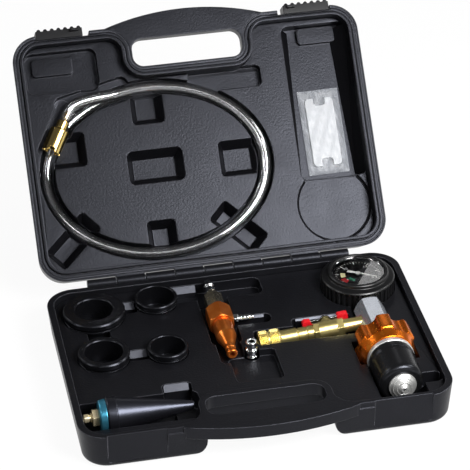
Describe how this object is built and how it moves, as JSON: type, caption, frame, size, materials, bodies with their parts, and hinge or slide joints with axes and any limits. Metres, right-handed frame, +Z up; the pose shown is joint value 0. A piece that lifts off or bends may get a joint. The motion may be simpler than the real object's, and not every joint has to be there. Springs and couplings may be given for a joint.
{
  "type": "coolant vacuum refill kit",
  "caption": "Moulded carry case with hinged lid holding a vacuum filler head with gauge and valve arm, a venturi, rubber neck adaptors, a cone adaptor and a clear hose.",
  "frame": {"origin": "centre of the base's underside", "axes": "+Z up, +Y towards the hinge, +X towards the gauge's side of the case"},
  "size_m": [0.36, 0.4699, 0.2429],
  "materials": {
    "case_plastic": "grained black polypropylene",
    "tray_plastic": "grained charcoal polypropylene",
    "latch_plastic": "smooth black nylon",
    "pin_steel": "drawn wire",
    "polished_aluminium": "polished",
    "plug_rubber": "smooth black",
    "washer_steel": "turned",
    "bright_chrome": "polished",
    "orange_anodised": "anodised orange",
    "plated_brass": "nickel plated",
    "gauge_steel": "enamelled sheet",
    "boot_rubber": "moulded black",
    "movement_brass": "stamped",
    "dial_enamel": "printed black",
    "needle_enamel": "white",
    "gauge_glass": "clear",
    "bezel_plastic": "black",
    "pale_brass": "bright turned",
    "seat_plastic": "white PTFE",
    "lever_steel": "plated",
    "sleeve_vinyl": "dipped red",
    "seal_rubber": "black",
    "dull_steel": "zinc plated",
    "cone_rubber": "moulded black",
    "teal_anodised": "anodised teal",
    "warm_brass": "turned",
    "adaptor_rubber": "moulded black",
    "hose_vinyl": "clear",
    "bag_film": "translucent film",
    "hanger_plastic": "white"
  },
  "bodies": {
    "base": {"base_shell": "case_plastic", "base_tray": "tray_plastic", "hinge_pin": "pin_steel"},
    "lid": {"lid_shell": "case_plastic", "lid_tray": "tray_plastic"},
    "latch_left": {"latch_left": "latch_plastic"},
    "latch_right": {"latch_right": "latch_plastic"},
    "head": {"head_body": "polished_aluminium", "plug_stem": "polished_aluminium", "expander_plug": "plug_rubber", "clamp_washer": "washer_steel", "end_cap": "bright_chrome", "gauge_stem": "plated_brass", "gauge_case": "gauge_steel", "gauge_boot": "boot_rubber", "gauge_movement": "movement_brass", "bourdon_tube": "movement_brass", "gauge_dial": "dial_enamel", "gauge_lens": "gauge_glass", "gauge_bezel": "bezel_plastic", "valve_nipple": "pale_brass", "valve_body": "pale_brass", "valve_seats": "seat_plastic", "coupler_body": "pale_brass", "coupler_seal": "seal_rubber"},
    "knob": {"clamp_knob": "orange_anodised"},
    "needle": {"gauge_needle": "needle_enamel"},
    "lever": {"valve_ball": "bright_chrome", "valve_stem": "pale_brass", "valve_lever": "lever_steel", "lever_sleeves": "sleeve_vinyl", "lever_nut": "bright_chrome"},
    "collar": {"coupler_collar": "pale_brass"},
    "venturi": {"venturi_body": "orange_anodised", "venturi_adaptor": "dull_steel", "air_plug": "bright_chrome", "side_nipple": "bright_chrome"},
    "spare_nipple": {"spare_nipple": "bright_chrome"},
    "cone_adaptor": {"cone_rubber": "cone_rubber", "cone_ring": "teal_anodised", "cone_nut": "warm_brass", "cone_stem": "warm_brass"},
    "large_adaptor": {"large_adaptor": "adaptor_rubber"},
    "back_cup": {"back_cup": "adaptor_rubber"},
    "medium_adaptor": {"medium_adaptor": "adaptor_rubber"},
    "front_cup": {"front_cup": "adaptor_rubber"},
    "hose": {"hose": "hose_vinyl", "hose_coupling": "warm_brass", "hose_ferrule": "warm_brass"},
    "bag": {"bag": "bag_film", "hanger_plate": "hanger_plastic"}
  },
  "joints": [
    {"name": "lid_hinge", "type": "hinge", "parent": "base", "child": "lid", "pos_m": [0, 0.1332, 0.035], "axis": [-1, 0, 0], "range_deg": [-130, 0]},
    {"name": "latch_left_slide", "type": "slide", "parent": "lid", "child": "latch_left", "axis": [1, 0, 0], "range_m": [0, 0.006]},
    {"name": "latch_right_slide", "type": "slide", "parent": "lid", "child": "latch_right", "axis": [-1, 0, 0], "range_m": [0, 0.006]},
    {"name": "head_lift", "type": "slide", "parent": "base", "child": "head", "axis": [0, 0, 1], "range_m": [0, 0.06]},
    {"name": "knob_turn", "type": "hinge", "parent": "head", "child": "knob", "pos_m": [0.1315, -0.035, 0.0333], "axis": [0, 1, 0], "continuous": true},
    {"name": "needle_turn", "type": "hinge", "parent": "head", "child": "needle", "pos_m": [0.1315, 0.0786, 0.0449], "axis": [0, 0, 1], "range_deg": [0, 240]},
    {"name": "lever_turn", "type": "hinge", "parent": "head", "child": "lever", "pos_m": [0.08564, 0.0116, 0.02969], "axis": [0, 1, 0], "range_deg": [0, 90]},
    {"name": "collar_pull", "type": "slide", "parent": "head", "child": "collar", "axis": [0.9969, 0, 0.0785], "range_m": [0, 0.004]},
    {"name": "venturi_lift", "type": "slide", "parent": "base", "child": "venturi", "axis": [0, 0, 1], "range_m": [0, 0.06]},
    {"name": "spare_nipple_lift", "type": "slide", "parent": "base", "child": "spare_nipple", "axis": [0, 0, 1], "range_m": [0, 0.04]},
    {"name": "cone_adaptor_lift", "type": "slide", "parent": "base", "child": "cone_adaptor", "axis": [0, 0, 1], "range_m": [0, 0.06]},
    {"name": "large_adaptor_lift", "type": "slide", "parent": "base", "child": "large_adaptor", "axis": [0, 0, 1], "range_m": [0, 0.045]},
    {"name": "back_cup_lift", "type": "slide", "parent": "base", "child": "back_cup", "axis": [0, 0, 1], "range_m": [0, 0.045]},
    {"name": "medium_adaptor_lift", "type": "slide", "parent": "base", "child": "medium_adaptor", "axis": [0, 0, 1], "range_m": [0, 0.045]},
    {"name": "front_cup_lift", "type": "slide", "parent": "base", "child": "front_cup", "axis": [0, 0, 1], "range_m": [0, 0.045]},
    {"name": "hose_lift", "type": "slide", "parent": "lid", "child": "hose", "axis": [0, -0.766, 0.6428], "range_m": [0, 0.03]},
    {"name": "bag_lift", "type": "slide", "parent": "lid", "child": "bag", "axis": [0, -0.766, 0.6428], "range_m": [0, 0.03]}
  ]
}
